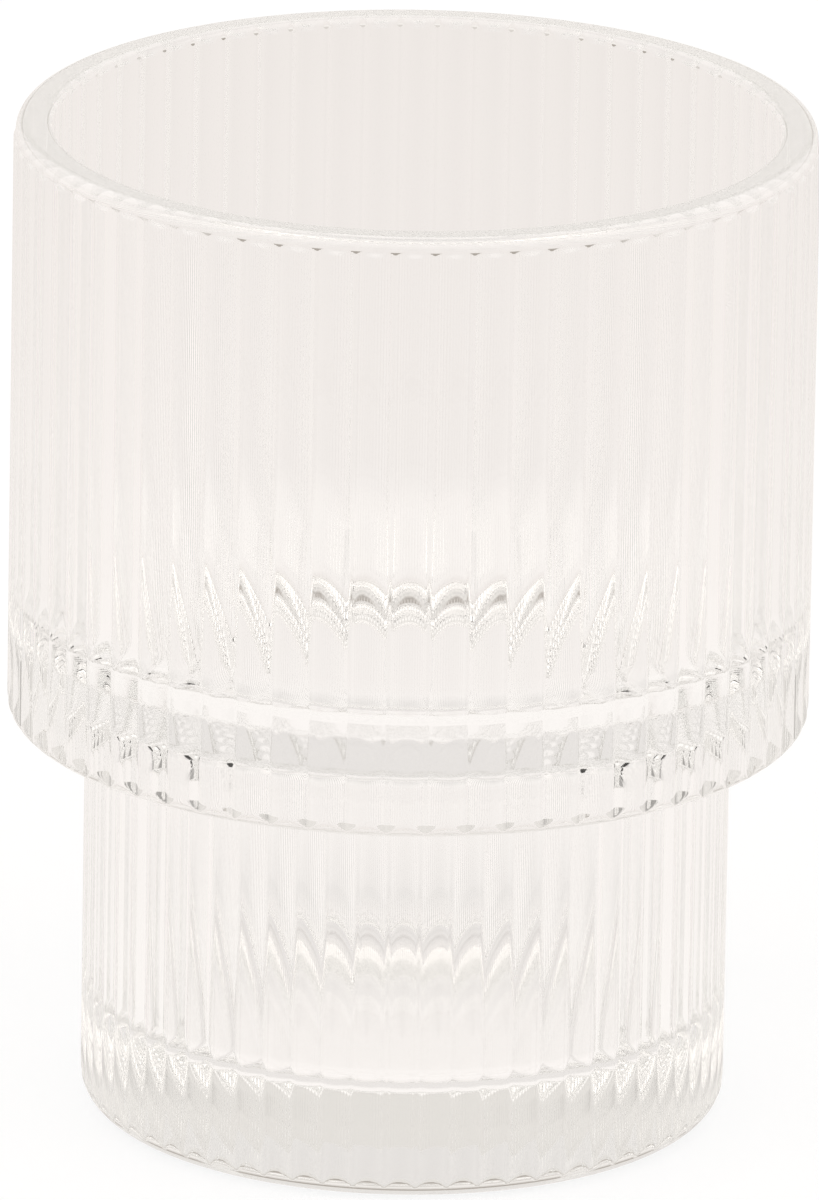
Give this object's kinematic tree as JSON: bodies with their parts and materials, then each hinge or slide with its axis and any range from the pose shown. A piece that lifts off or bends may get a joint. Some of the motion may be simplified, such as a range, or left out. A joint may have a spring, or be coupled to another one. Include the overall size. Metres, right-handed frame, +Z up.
{
  "type": "reeded drinking glass",
  "caption": "Reeded clear-glass stacking tumbler for a flat white: plain lip, wide bowl, rounded shoulder and a narrower thick-based foot.",
  "frame": {"origin": "centre of the base, on the plane of the table", "axes": "+Z up along the axis of the glass; +X passes through the crest of a reed, and any other reed would do as well"},
  "size_m": [0.075, 0.075, 0.096],
  "materials": {
    "glass": "clear pressed glass, fire-polished"
  },
  "bodies": {
    "root": {"tumbler": "glass"}
  },
  "joints": []
}
